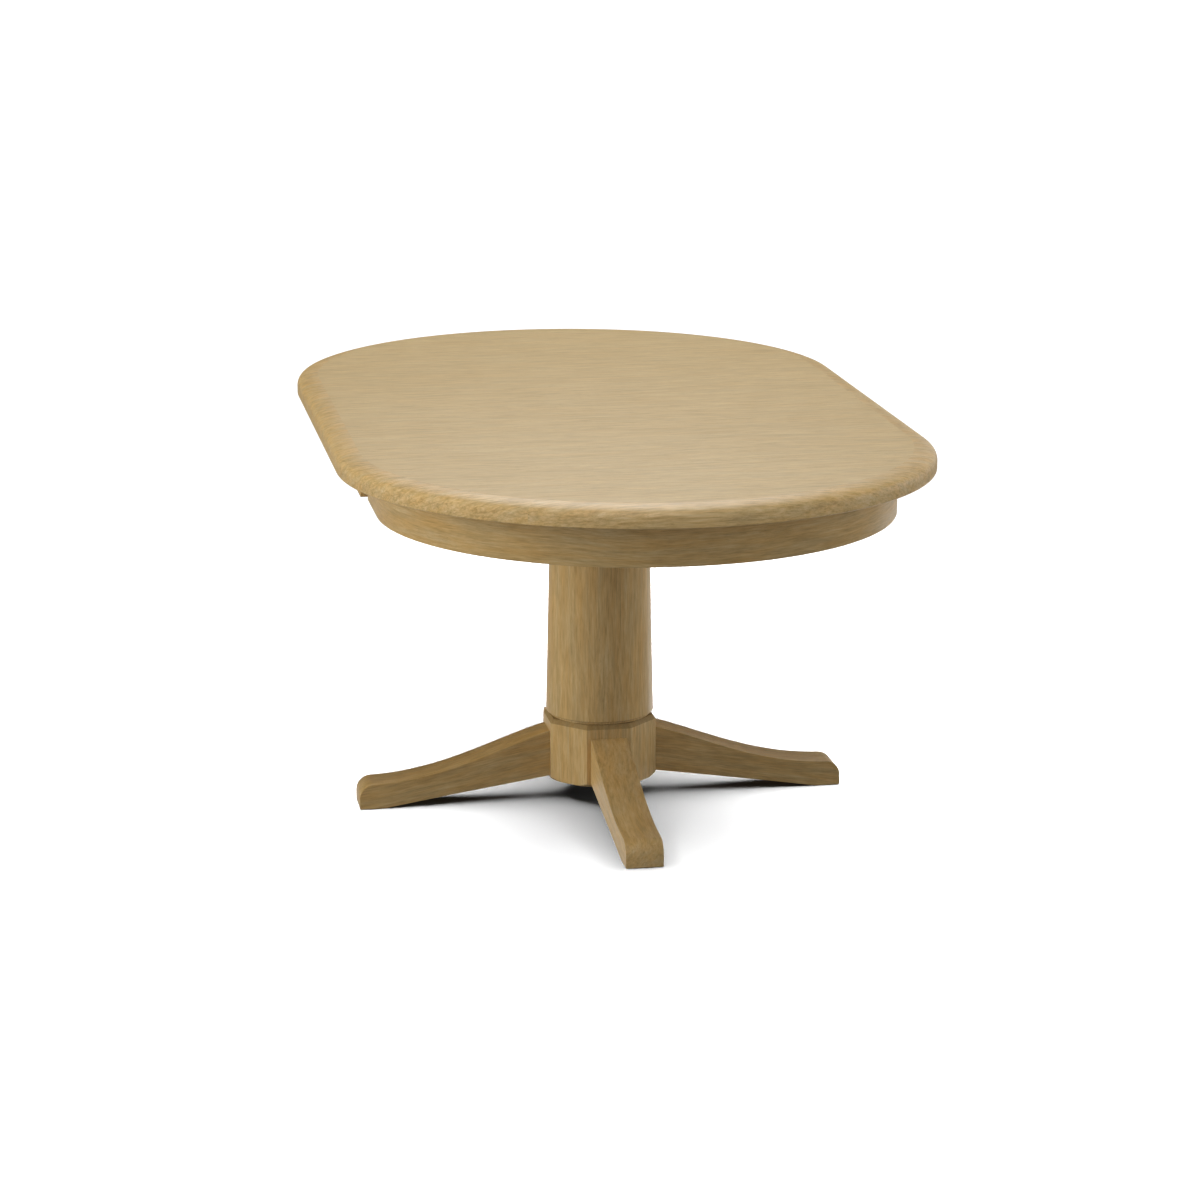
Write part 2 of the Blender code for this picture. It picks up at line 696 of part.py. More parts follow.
def main():
    clear_scene()
    pedestal = body_frame("pedestal")
    make_column(pedestal)
    make_hub(pedestal)
    for name, angle in LEG_ANGLES.items():
        make_leg(name, angle, pedestal)
    make_tie_rod(pedestal)
    make_top_frame(pedestal)
    for name, side in ENDS.items():
        make_half(name, side, body_frame(f"{name}_half"))
        for hand, across in SIDES.items():
            frame = body_frame(f"{name}_latch_{hand}", (*latch_centre(side, across), LATCH_BOTTOM))
            make_latch(f"{name}_latch_{hand}", side, across, frame)
    make_leaf(body_frame("leaf"))
    make_pinion(body_frame("pinion"))


main()
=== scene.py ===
"""Looks of the extending pedestal table: fine meshes, wood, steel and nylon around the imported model.

Metres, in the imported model's frame: +Z up, +Y towards the rear half, +X across the table.
"""

import json
import math
import random

import bmesh
import bpy
from mathutils import Matrix, Vector

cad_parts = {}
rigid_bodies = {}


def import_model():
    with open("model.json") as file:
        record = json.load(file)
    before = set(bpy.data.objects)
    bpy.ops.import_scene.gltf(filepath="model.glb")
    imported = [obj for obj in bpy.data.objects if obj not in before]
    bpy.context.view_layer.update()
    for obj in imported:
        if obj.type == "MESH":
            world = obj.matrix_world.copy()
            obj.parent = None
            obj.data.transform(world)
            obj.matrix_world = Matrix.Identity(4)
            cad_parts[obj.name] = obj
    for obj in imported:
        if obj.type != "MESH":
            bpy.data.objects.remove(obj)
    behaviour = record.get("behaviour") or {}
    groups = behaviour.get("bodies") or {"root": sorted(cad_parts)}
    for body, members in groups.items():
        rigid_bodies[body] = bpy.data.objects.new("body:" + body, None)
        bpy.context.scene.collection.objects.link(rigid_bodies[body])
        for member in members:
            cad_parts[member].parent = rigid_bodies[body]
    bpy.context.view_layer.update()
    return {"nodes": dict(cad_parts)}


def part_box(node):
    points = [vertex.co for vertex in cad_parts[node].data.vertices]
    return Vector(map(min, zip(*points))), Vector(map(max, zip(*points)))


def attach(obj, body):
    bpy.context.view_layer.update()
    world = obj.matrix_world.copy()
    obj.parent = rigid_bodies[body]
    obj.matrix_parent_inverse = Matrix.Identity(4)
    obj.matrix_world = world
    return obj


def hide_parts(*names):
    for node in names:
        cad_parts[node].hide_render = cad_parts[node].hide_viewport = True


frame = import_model()

ENDS = {"front": -1, "rear": 1}
SIDES = {"left": -1, "right": 1}
LEG_ANGLES = {"front": -90, "rear": 90, "left": 180, "right": 0}
GAP = 0.0003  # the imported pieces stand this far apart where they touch
GLUE_LINE = 0.00005  # what a glued joint shows of that gap
OVERSHOOT = 0.01  # how far a cutter stands out of what it cuts

# Top, read from the frame
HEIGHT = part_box("front_panel")[1].z
PANEL_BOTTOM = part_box("front_panel")[0].z
PANEL_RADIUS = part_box("front_panel")[1].x
HALF_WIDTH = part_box("front_edge")[1].x
EDGE_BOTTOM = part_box("front_edge")[0].z
SEAM = -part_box("front_edge")[1].y
LEAF_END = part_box("leaf_panel")[1].y
END_CENTRE = -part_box("front_edge")[0].y - HALF_WIDTH
APRON_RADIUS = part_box("front_apron")[1].x
APRON_THICK = 0.019
APRON_ARRIS = 0.0012
LEAF_APRON_ARRIS = 0.0010
EDGE_WIDTH = HALF_WIDTH - PANEL_RADIUS - GLUE_LINE
EDGE_THICK = HEIGHT - EDGE_BOTTOM
ROUND_STEPS = 96
STRAIGHT_STEPS = 4

# The edge's section as two cubic curves and a quarter round: (inset from the widest line, drop from the top)
EDGE_CROWN = ((EDGE_WIDTH, 0.0), (0.0300, 0.0002), (0.0180, 0.0030), (0.0090, 0.0068))
EDGE_NOSE = ((0.0090, 0.0068), (0.0040, 0.0090), (0.0, 0.0140), (0.0, 0.0218))
EDGE_UNDER_RADIUS = 0.0025
CROWN_STEPS = 10
NOSE_STEPS = 10
UNDER_STEPS = 4

# Pedestal
COLUMN_LOW, COLUMN_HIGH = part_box("column")
COLUMN_FOOT = COLUMN_HIGH.x
COLUMN_SHOULDER = COLUMN_LOW.z + 0.0053
COLUMN_NECK = 0.096
COLUMN_TAPER = 0.021  # radius lost per metre of height
COLUMN_BORE = 0.030
COLUMN_ARRIS = 0.0016
COLUMN_STEPS = 12
NECK_FILLET = 0.0004
HUB_LOW, HUB_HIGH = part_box("hub")
HUB_FLAT = HUB_HIGH.x
HUB_SIDES = 8
HUB_BORE = 0.040
HUB_CHAMFER = (0.0055, 0.0085)  # across, down
HUB_FOOT_RADIUS = 0.1035  # the foot is turned, and widens by as much as it rises until the corners are whole
HUB_FOOT_RISES = (0.0018, 0.0035, 0.0050, 0.0060, 0.0070, 0.0082)
HUB_SIDE_STEPS = 8  # on each half of a side
HUB_CORNER = math.radians(1.1)  # half of what a soft corner takes up round the hub
HUB_CORNER_REACH = 0.9985  # of a sharp corner's
TURN_STEPS = 128

# Legs, in a leg's own plane: distance from the pedestal's axis, and height
LEG_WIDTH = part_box("leg_front")[1].x * 2
LEG_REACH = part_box("leg_right")[1].x
LEG_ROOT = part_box("leg_right")[0].x
LEG_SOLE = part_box("leg_right")[0].z
LEG_TOP_CURVE = ((LEG_ROOT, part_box("leg_right")[1].z), (0.200, 0.110), (0.300, 0.053), (0.440, 0.0488))
LEG_BELLY_CURVE = ((0.300, 0.0205), (0.345, 0.0138), (0.390, 0.0062), (0.420, LEG_SOLE))
LEG_ROOT_BOTTOM = 0.0500
LEG_TOP_STEPS = 40
LEG_BELLY_STEPS = 14
TOE_RADIUS = 0.028
TOE_STEPS = 16
LEG_ARRIS = 0.0020
LEG_GRAIN_FALL = 0.18  # the grain drops this much for each unit of its run outwards

SHARP = math.radians(32)  # two faces shade as one round surface below this angle
ARRIS = math.radians(40)  # an edge is softened above this angle


# Meshes


def bezier(control, steps):
    """Points along a cubic curve, its ends included."""
    start, pull_out, pull_in, end = (Vector(p) for p in control)
    points = []
    for step in range(steps + 1):
        t = step / steps
        s = 1 - t
        points.append(s**3 * start + 3 * s * s * t * pull_out + 3 * s * t * t * pull_in + t**3 * end)
    return points


def quarter(centre, radius, start, steps):
    """Points along a quarter circle in a section, anticlockwise from the start angle in degrees."""
    points = []
    for step in range(steps + 1):
        angle = math.radians(start + 90 * step / steps)
        points.append(Vector(centre) + radius * Vector((math.cos(angle), math.sin(angle))))
    return points


def prism(outline, low, high, place):
    """The outline swept straight from low to high. place turns (u, v, w) into a point."""
    bm = bmesh.new()
    rings = [[bm.verts.new(place(u, v, w)) for u, v in outline] for w in (low, high)]
    for ring in rings:
        bm.faces.new(ring)
    for i in range(len(outline)):
        bm.faces.new((rings[0][i - 1], rings[0][i], rings[1][i], rings[1][i - 1]))
    return bm


def upright(u, v, w):
    """Outline in plan, swept up."""
    return (u, v, w)


def lengthways(u, v, w):
    """Outline in a section across +Y, swept along it."""
    return (u, w, v)


def block(x, y, z):
    """A box from its (low, high) pair on each axis."""
    outline = ((x[0], y[0]), (x[1], y[0]), (x[1], y[1]), (x[0], y[1]))
    return prism(outline, z[0], z[1], upright)


def loft(rings, joined=False):
    """A solid through closed rings of points. Its ends are filled, or joined to each other."""
    bm = bmesh.new()
    made = [[bm.verts.new(point) for point in ring] for ring in rings]
    pairs = list(zip(made, made[1:]))
    if joined:
        pairs.append((made[-1], made[0]))
    else:
        bm.faces.new(made[0])
        bm.faces.new(made[-1])
    for a, b in pairs:
        for i in range(len(a)):
            bm.faces.new((a[i - 1], a[i], b[i], b[i - 1]))
    return bm


def circle(radius, height, steps=TURN_STEPS, centre=(0, 0)):
    points = []
    for step in range(steps):
        angle = 2 * math.pi * step / steps
        points.append((centre[0] + radius * math.cos(angle), centre[1] + radius * math.sin(angle), height))
    return points


def rod(radius, low, high, centre=(0, 0), steps=24):
    return loft([circle(radius, low, steps, centre), circle(radius, high, steps, centre)])


def soften(bm, width, keep=None):
    """Rounds every arris sharper than ARRIS, or only those of them that keep picks out."""
    bmesh.ops.recalc_face_normals(bm, faces=bm.faces)
    edges = [e for e in bm.edges if e.is_manifold and e.calc_face_angle() > ARRIS]
    if keep is not None:
        edges = [e for e in edges if keep(e)]
    bmesh.ops.bevel(
        bm,
        geom=edges,
        offset=width,
        offset_type="OFFSET",
        segments=2,
        profile=0.5,
        affect="EDGES",
        clamp_overlap=True,
    )
    return bm


def write_mesh(mesh, bm):
    """Stores a bmesh with smooth faces and sharp arrises. A face of many sides is a flat one."""
    bmesh.ops.recalc_face_normals(bm, faces=bm.faces)
    for face in bm.faces:
        face.smooth = True
    for edge in bm.edges:
        rounded = edge.is_manifold and edge.calc_face_angle() < SHARP
        edge.smooth = rounded and all(len(face.verts) <= 4 for face in edge.link_faces)
    bm.to_mesh(mesh)
    bm.free()


def mesh_object(name, bm):
    mesh = bpy.data.meshes.new(name)
    write_mesh(mesh, bm)
    obj = bpy.data.objects.new(name, mesh)
    bpy.context.scene.collection.objects.link(obj)
    return obj


def carve(obj, cutters):
    """Cuts bmeshes out of the object."""
    for bm in cutters:
        cutter = mesh_object("cutter", bm)
        modifier = obj.modifiers.new("cut", "BOOLEAN")
        modifier.operation = "DIFFERENCE"
        modifier.object = cutter
        bpy.context.view_layer.update()
        cut = bmesh.new()
        cut.from_object(obj, bpy.context.evaluated_depsgraph_get())
        obj.modifiers.clear()
        write_mesh(obj.data, cut)
        bpy.data.objects.remove(cutter)


def place(obj, node, body, slot, material):
    """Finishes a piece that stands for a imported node."""
    obj.data.materials.clear()
    obj.data.materials.append(material)
    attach(obj, body)
    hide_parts(node)


# Grain: each wooden piece stores where its surface lies in its own board, as (along, across, through)


END_GRAIN_TILT = 0.45  # a face is end grain when its normal leans this far towards the grain
BOARD_SPREAD = 9.0  # boards are cut from anywhere in a block of noise this many metres out from its middle


def cut_anywhere(draw):
    """A random place for a board in the noise."""
    return Vector([draw.uniform(-BOARD_SPREAD, BOARD_SPREAD) for _ in range(3)])


def store_grain(obj, rule, tone, end_along=None):
    """Stores the place in the board and the board's shade, -1 to 1, for each corner of each face: its own,
    with painted shade added on the left and right legs.

    rule(point, middle of its face) gives the place, and a shade too where a piece has several boards.
    Faces that look along end_along, when it is given, are end grain, which the wood darkens partly as its
    own darker colour and partly as painted shade.
    """
    mesh = obj.data
    values = []
    tones = []
    ends = []
    for polygon in mesh.polygons:
        end = 0.0
        if end_along is not None and abs(polygon.normal.dot(Vector(end_along))) > END_GRAIN_TILT:
            end = 1.0
        for corner in polygon.loop_indices:
            point = mesh.vertices[mesh.loops[corner].vertex_index].co
            found = rule(point, polygon.center)
            values.extend(found[:3])
            tones.append(found[3] if len(found) > 3 else tone)
            ends.append(end)
    mesh.attributes.new("grain", "FLOAT_VECTOR", "CORNER").data.foreach_set("vector", values)
    mesh.attributes.new("board", "FLOAT", "CORNER").data.foreach_set("value", tones)
    mesh.attributes.new("end_grain", "FLOAT", "CORNER").data.foreach_set("value", ends)


def straight_grain(direction, lean, seed):
    """Grain that runs straight. lean tips the growth layers round it from level, in degrees."""
    along = Vector(direction).normalized()
    across = Vector((-along.y, along.x, 0)).normalized()
    turn = Matrix.Rotation(math.radians(lean), 3, along)
    across = turn @ across
    through = along.cross(across)
    shift = cut_anywhere(random.Random(seed))

    def rule(point, middle):
        return (point.dot(along) + shift.x, point.dot(across) + shift.y, point.dot(through) + shift.z)

    return rule


# Materials


class Tree:
    """Adds nodes to a material, taking each input from a socket or a plain value."""

    def __init__(self, name):
        self.material = bpy.data.materials.new(name)
        self.material.use_nodes = True
        self.nodes = self.material.node_tree.nodes
        self.links = self.material.node_tree.links
        self.shader = self.nodes["Principled BSDF"]

    def add(self, kind, inputs, output=0, **settings):
        made = self.nodes.new(kind)
        for key, value in settings.items():
            setattr(made, key, value)
        for key, value in inputs.items():
            self.feed(made.inputs[key], value)
        return made.outputs[output]

    def feed(self, socket, value):
        if isinstance(value, bpy.types.NodeSocket):
            self.links.new(value, socket)
        else:
            socket.default_value = value

    def vector(self, operation, a, b):
        return self.add("ShaderNodeVectorMath", {0: a, 1: b}, operation=operation)

    def math(self, operation, a, b=0.0, c=0.0):
        return self.add("ShaderNodeMath", {0: a, 1: b, 2: c}, operation=operation)

    def noise(self, where, stretch, detail=2.0, roughness=0.5, output="Fac"):
        scaled = self.vector("MULTIPLY", where, stretch)
        inputs = {"Vector": scaled, "Scale": 1.0, "Detail": detail, "Roughness": roughness}
        return self.add("ShaderNodeTexNoise", inputs, output=output)

    def remap(self, value, from_low, from_high, to_low, to_high):
        inputs = {
            "Value": value,
            "From Min": from_low,
            "From Max": from_high,
            "To Min": to_low,
            "To Max": to_high,
        }
        return self.add("ShaderNodeMapRange", inputs)

    def ramp(self, value, stops):
        made = self.nodes.new("ShaderNodeValToRGB")
        self.feed(made.inputs[0], value)
        elements = made.color_ramp.elements
        while len(elements) < len(stops):
            elements.new(0.5)
        for element, (position, colour) in zip(elements, stops):
            element.position = position
            element.color = (*colour, 1.0)
        return made.outputs[0]

    def mix(self, share, a, b, blend="MIX"):
        made = self.nodes.new("ShaderNodeMix")
        made.data_type = "RGBA"
        made.blend_type = blend
        self.feed(made.inputs["Factor"], share)
        self.feed(made.inputs[6], a)
        self.feed(made.inputs[7], b)
        return made.outputs[2]


BOARD_TONE = 0.08  # how far a board's shade moves its tone: its own shade, and painted shade on the left and right legs
DIRT_AND_SHADE = 0.45  # brightness of what lies in the pores, and of the painted shade on end grain, as a share of the dark colour
PORE_DIRT = 0.42
# how far end grain darkens: partly real end grain colour, partly painted shade for the column's shadow on
# the hub's top chamfer
END_GRAIN_DARK_AND_SHADE = 0.55


def wood(name, dark, middle, light, streaks, figure, hue, roughness):
    """Wood under a satin finish: growth layers, fibres, open pores and slow drifts of colour.

    streaks, figure and hue: strengths of the lines along the grain, of patches, of warm and cool tints.
    """
    tree = Tree(name)
    grain = tree.add("ShaderNodeAttribute", {}, output="Vector", attribute_name="grain")
    board = tree.add("ShaderNodeAttribute", {}, output="Fac", attribute_name="board")
    end = tree.add("ShaderNodeAttribute", {}, output="Fac", attribute_name="end_grain")
    # Each noise's scale is in cycles per metre along, across and through the board
    drift = tree.noise(grain, (3.0, 9.0, 9.0), detail=3.0, output="Color")
    drift = tree.vector("MULTIPLY", tree.vector("SUBTRACT", drift, (0.5, 0.5, 0.5)), (0.0, 0.020, 0.020))
    lines = tree.vector("ADD", grain, drift)
    layers = tree.noise(lines, (1.8, 24.0, 80.0), detail=3.0, roughness=0.6)
    bands = tree.noise(lines, (11.0, 120.0, 210.0), detail=2.0)
    fine = tree.noise(lines, (30.0, 300.0, 460.0), detail=2.0)
    fibres = tree.noise(lines, (45.0, 1500.0, 1500.0), detail=1.0)
    pores = tree.remap(tree.noise(lines, (60.0, 1700.0, 1700.0), detail=1.0), 0.60, 0.74, 0.0, 1.0)
    pores = tree.math("MULTIPLY", pores, tree.remap(layers, 0.40, 0.60, 0.25, 1.0))
    patches = tree.noise(grain, (16.0, 40.0, 40.0), detail=5.0, roughness=0.65)
    tone = tree.math("MULTIPLY_ADD", layers, 0.42 * streaks, 0.5 - 0.21 * streaks)
    shares = ((bands, 0.85 * streaks), (fine, 1.0 * streaks), (fibres, 0.45 * streaks), (patches, figure))
    for part, share in shares:
        tone = tree.math("MULTIPLY_ADD", tree.math("SUBTRACT", part, 0.5), share, tone)
    tone = tree.math("MULTIPLY_ADD", board, BOARD_TONE, tone)
    colour = tree.ramp(tone, ((0.12, dark), (0.5, middle), (0.88, light)))
    warmth = tree.noise(lines, (7.0, 38.0, 70.0), detail=3.0, roughness=0.6)
    orange = (1.0 + 0.10 * hue, 1.0 - 0.03 * hue, 1.0 - 0.28 * hue)
    olive = (1.0 - 0.10 * hue, 1.0 + 0.03 * hue, 1.0 + 0.28 * hue)
    tint = tree.ramp(warmth, ((0.32, olive), (0.5, (1.0, 1.0, 1.0)), (0.68, orange)))
    colour = tree.mix(1.0, colour, tint, blend="MULTIPLY")
    dirt_and_shade = (*(c * DIRT_AND_SHADE for c in dark), 1.0)
    colour = tree.mix(tree.math("MULTIPLY", pores, PORE_DIRT), colour, dirt_and_shade)
    # End grain goes darker, partly as real end grain does, partly as painted shade where the column shades
    # the hub's chamfer
    colour = tree.mix(tree.math("MULTIPLY", end, END_GRAIN_DARK_AND_SHADE), colour, dirt_and_shade)
    tree.feed(tree.shader.inputs["Base Color"], colour)
    sheen = tree.math("MULTIPLY_ADD", tree.math("SUBTRACT", fine, 0.5), 0.22, roughness)
    sheen = tree.math("MULTIPLY_ADD", end, 0.3, sheen)
    tree.feed(tree.shader.inputs["Roughness"], tree.math("MULTIPLY_ADD", pores, 0.18, sheen))
    height = tree.math("MULTIPLY_ADD", pores, -1.0, tree.math("MULTIPLY", fibres, 0.35))
    bump = tree.add("ShaderNodeBump", {"Height": height, "Strength": 0.30, "Distance": 0.0002})
    tree.feed(tree.shader.inputs["Normal"], bump)
    return tree.material


def steel(name, colour, roughness):
    """Zinc plate over rolled steel: fine scratches, a faint cloud of colour."""
    tree = Tree(name)
    where = tree.add("ShaderNodeTexCoord", {}, output="Object")
    cloud = tree.noise(where, (60.0, 60.0, 60.0), detail=3.0)
    scratch = tree.noise(where, (90.0, 2400.0, 900.0), detail=2.0)
    tint = tree.ramp(cloud, ((0.3, tuple(0.86 * c for c in colour)), (0.7, colour)))
    tree.feed(tree.shader.inputs["Base Color"], tint)
    tree.shader.inputs["Metallic"].default_value = 1.0
    rough = tree.math("MULTIPLY_ADD", scratch, 0.22, roughness - 0.11)
    tree.feed(tree.shader.inputs["Roughness"], tree.math("MULTIPLY_ADD", cloud, 0.10, rough))
    bump = tree.add("ShaderNodeBump", {"Height": scratch, "Strength": 0.15, "Distance": 0.0001})
    tree.feed(tree.shader.inputs["Normal"], bump)
    return tree.material


def nylon(name, colour):
    """Moulded nylon: a faint orange-peel surface and cloudy colour."""
    tree = Tree(name)
    where = tree.add("ShaderNodeTexCoord", {}, output="Object")
    cloud = tree.noise(where, (45.0, 45.0, 45.0), detail=3.0)
    peel = tree.noise(where, (1400.0, 1400.0, 1400.0), detail=1.0)
    tint = tree.ramp(cloud, ((0.3, tuple(0.88 * c for c in colour)), (0.7, colour)))
    tree.feed(tree.shader.inputs["Base Color"], tint)
    tree.feed(tree.shader.inputs["Roughness"], tree.math("MULTIPLY_ADD", cloud, 0.2, 0.42))
    tree.shader.inputs["Subsurface Weight"].default_value = 0.08
    tree.shader.inputs["Subsurface Radius"].default_value = (0.002, 0.002, 0.0016)
    bump = tree.add("ShaderNodeBump", {"Height": peel, "Strength": 0.12, "Distance": 0.0001})
    tree.feed(tree.shader.inputs["Normal"], bump)
    return tree.material


VENEER = wood(
    "oak_veneer", (0.508, 0.350, 0.138), (0.646, 0.464, 0.210), (0.750, 0.568, 0.285),
    streaks=0.95, figure=0.10, hue=0.14, roughness=0.42,
)
EDGE_WOOD = wood(
    "oak_edge", (0.460, 0.300, 0.113), (0.652, 0.450, 0.194), (0.770, 0.562, 0.282),
    streaks=1.1, figure=0.40, hue=0.40, roughness=0.42,
)
BASE_WOOD = wood(
    "oak_base", (0.445, 0.290, 0.107), (0.600, 0.400, 0.162), (0.710, 0.510, 0.236),
    streaks=0.95, figure=0.50, hue=0.40, roughness=0.45,
)
FRAME_WOOD = wood(
    "beech_frame", (0.44, 0.30, 0.165), (0.58, 0.43, 0.26), (0.66, 0.52, 0.34),
    streaks=0.7, figure=0.15, hue=0.3, roughness=0.62,
)
STEEL = steel("zinc_steel", (0.56, 0.56, 0.57), 0.34)
NYLON = nylon("natural_nylon", (0.72, 0.71, 0.66))


# The top


def half_line(radius, side):
    """Plan points of a half-top at this radius, from its left seam corner round to its right one."""
    points = []
    for step in range(STRAIGHT_STEPS):
        points.append((-radius, side * (SEAM + (END_CENTRE - SEAM) * step / STRAIGHT_STEPS)))
    for step in range(ROUND_STEPS + 1):
        angle = math.pi * step / ROUND_STEPS
        points.append((-radius * math.cos(angle), side * (END_CENTRE + radius * math.sin(angle))))
    for step in range(STRAIGHT_STEPS - 1, -1, -1):
        points.append((radius, side * (SEAM + (END_CENTRE - SEAM) * step / STRAIGHT_STEPS)))
    return points


def edge_section():
    """The edge's section, from the field outwards, down the nose and back underneath."""
    points = bezier(EDGE_CROWN, CROWN_STEPS)
    points += bezier(EDGE_NOSE, NOSE_STEPS)[1:]
    radius = EDGE_UNDER_RADIUS
    for step in range(UNDER_STEPS + 1):
        turn = math.pi / 2 * step / UNDER_STEPS
        points.append(
            Vector((radius * (1 - math.cos(turn)), EDGE_THICK - radius * (1 - math.sin(turn))))
        )
    points.append(Vector((EDGE_WIDTH, EDGE_THICK)))
    return points


def arc_length(point, side):
    """How far round the half-top's outline a point lies, and its distance from the middle line."""
    y = side * point.y - END_CENTRE
    if y <= 0:
        reach = abs(point.x)
        run = y if point.x < 0 else math.pi * HALF_WIDTH - y
        return run, reach
    angle = math.atan2(y, -point.x)
    return HALF_WIDTH * angle, math.hypot(point.x, y)


EDGE_SEGMENTS = 3  # curved blocks in each round end, sawn from straight boards
EDGE_HEADINGS = (9, 0, -9)  # how far each block's grain turns from the line across the table, in degrees
EDGE_LEANS = (38, 12, 52)  # how far its growth layers tip from level, in degrees
STRAIGHT_LEAN = 25
APRON_LEAN = 70
TONE_SPREAD = 0.7  # the widest random difference in shade between boards


def edge_grain(side, seed):
    """Grain of the edge's blocks: straight in each and nearly across the table, as in the field."""
    draw = random.Random(seed)
    shifts = [cut_anywhere(draw) for _ in range(EDGE_SEGMENTS + 2)]
    tones = [draw.uniform(-TONE_SPREAD, TONE_SPREAD) for _ in range(EDGE_SEGMENTS + 2)]

    def rule(point, middle):
        y = side * middle.y - END_CENTRE
        if y <= 0:
            index = EDGE_SEGMENTS if middle.x < 0 else EDGE_SEGMENTS + 1
            heading = 0.0
            lean = math.radians(STRAIGHT_LEAN)
        else:
            angle = math.atan2(y, -middle.x)
            index = min(int(angle / math.pi * EDGE_SEGMENTS), EDGE_SEGMENTS - 1)
            heading = math.radians(EDGE_HEADINGS[index])
            lean = math.radians(EDGE_LEANS[index])
        along = Vector((math.cos(heading), side * math.sin(heading), 0))
        across = Vector((-along.y, along.x, 0))
        through = across * math.sin(lean) + Vector((0, 0, math.cos(lean)))
        across = across * math.cos(lean) - Vector((0, 0, math.sin(lean)))
        shift = shifts[index]
        found = (point.dot(along) + shift.x, point.dot(across) + shift.y, point.dot(through) + shift.z)
        return (*found, tones[index])

    return rule


def bent_grain(side, seed):
    """Grain that follows the curve, as in a bent apron."""
    shift = cut_anywhere(random.Random(seed))

    def rule(point, middle):
        run, reach = arc_length(point, side)
        return (run + shift.x, reach + shift.y, point.z + shift.z)

    return rule


TENON_SLOT = {"half_width": 0.0105, "depth": 0.0095, "top": 0.7515}  # in the leaf, open below
SCREW_HOLE = 0.0033  # radius
SCREW_TOP = 0.7493


def node_middle(node):
    low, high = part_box(node)
    return (low + high) / 2


def screw_hole(node):
    """A cutter for the hole of a screw that goes up into the top."""
    middle = node_middle(node)
    return rod(SCREW_HOLE, PANEL_BOTTOM - OVERSHOOT, SCREW_TOP, (middle.x, middle.y))


def field_grain():
    """Grain of the top's veneer, which runs on across the seams."""
    return straight_grain((1, 0, 0), 0, "field")


def make_half_top(name, side):
    body = f"{name}_half"
    line = half_line(PANEL_RADIUS, side)
    panel = mesh_object(f"{name}_field", prism(line, PANEL_BOTTOM, HEIGHT, upright))
    holes = []
    for hand in SIDES:
        low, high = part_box(f"{name}_tenon_{hand}")
        seam_side = side * (SEAM - OVERSHOOT)
        y = sorted((seam_side, high.y + GAP if side > 0 else low.y - GAP))
        holes.append(block((low.x - GAP, high.x + GAP), y, (low.z - GAP, high.z + GAP)))
        holes.append(screw_hole(f"{name}_latch_pivot_{hand}"))
    carve(panel, holes)
    store_grain(panel, field_grain(), 0.0)
    place(panel, f"{name}_panel", body, "top_veneer", VENEER)

    section = edge_section()
    lines = [half_line(HALF_WIDTH - inset, side) for inset, _ in section]
    rings = []
    for i in range(len(lines[0])):
        rings.append([(*line[i], HEIGHT - drop) for line, (_, drop) in zip(lines, section)])
    edge = mesh_object(f"{name}_edge_band", loft(rings))
    store_grain(edge, edge_grain(side, f"{name} edge"), 0.0)
    place(edge, f"{name}_edge", body, "top_edge", EDGE_WOOD)

    low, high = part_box(f"{name}_apron")
    outer = half_line(APRON_RADIUS, side)
    inner = half_line(APRON_RADIUS - APRON_THICK, side)
    bm = prism(outer + inner[::-1], low.z, high.z, upright)
    soften(bm, APRON_ARRIS, keep=lambda e: all(v.co.z < low.z + APRON_ARRIS / 2 for v in e.verts))
    apron = mesh_object(f"{name}_apron_rim", bm)
    store_grain(apron, bent_grain(side, f"{name} apron"), 0.1)
    place(apron, f"{name}_apron", body, "base_wood", BASE_WOOD)


def make_leaf():
    panel = mesh_object(
        "leaf_field", block((-PANEL_RADIUS, PANEL_RADIUS), (-LEAF_END, LEAF_END), (PANEL_BOTTOM, HEIGHT))
    )
    holes = []
    half = TENON_SLOT["half_width"]
    for name, side in ENDS.items():
        for hand in SIDES:
            x = node_middle(f"{name}_tenon_{hand}").x
            y = sorted((side * (SEAM - TENON_SLOT["depth"]), side * (SEAM + OVERSHOOT)))
            holes.append(block((x - half, x + half), y, (PANEL_BOTTOM - OVERSHOOT, TENON_SLOT["top"])))
            holes.append(screw_hole(f"{name}_latch_stud_{hand}"))
    carve(panel, holes)
    store_grain(panel, field_grain(), 0.0)
    place(panel, "leaf_panel", "leaf", "top_veneer", VENEER)
    section = edge_section()
    for hand, across in SIDES.items():
        outline = [(across * (HALF_WIDTH - inset), HEIGHT - drop) for inset, drop in section]
        strip = mesh_object(f"leaf_edge_strip_{hand}", prism(outline, -LEAF_END, LEAF_END, lengthways))
        store_grain(strip, straight_grain((1, 0, 0), STRAIGHT_LEAN, f"leaf edge {hand}"), 0.2 * across)
        place(strip, f"leaf_edge_{hand}", "leaf", "top_edge", EDGE_WOOD)
        low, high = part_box(f"leaf_apron_{hand}")
        bm = soften(block((low.x, high.x), (low.y, high.y), (low.z, high.z)), LEAF_APRON_ARRIS)
        rail = mesh_object(f"leaf_apron_rail_{hand}", bm)
        store_grain(rail, straight_grain((0, 1, 0), APRON_LEAN, f"leaf apron {hand}"), -0.1)
        place(rail, f"leaf_apron_{hand}", "leaf", "base_wood", BASE_WOOD)


# The pedestal


BOARD_WIDTH = 0.047  # the turned column and the hub are glued up from upright boards
HALF_BOARDS = 4  # on either side of the middle one


def glued_grain(seed):
    """Upright grain of a block glued up from boards side by side across the table."""
    draw = random.Random(seed)
    boards = [(cut_anywhere(draw), draw.uniform(-1, 1)) for _ in range(2 * HALF_BOARDS + 1)]

    def rule(point, middle):
        shift, tone = boards[int(math.floor(middle.x / BOARD_WIDTH + 0.5)) + HALF_BOARDS]
        return (point.z + shift.x, point.y + shift.y, point.x + shift.z, tone)

    return rule


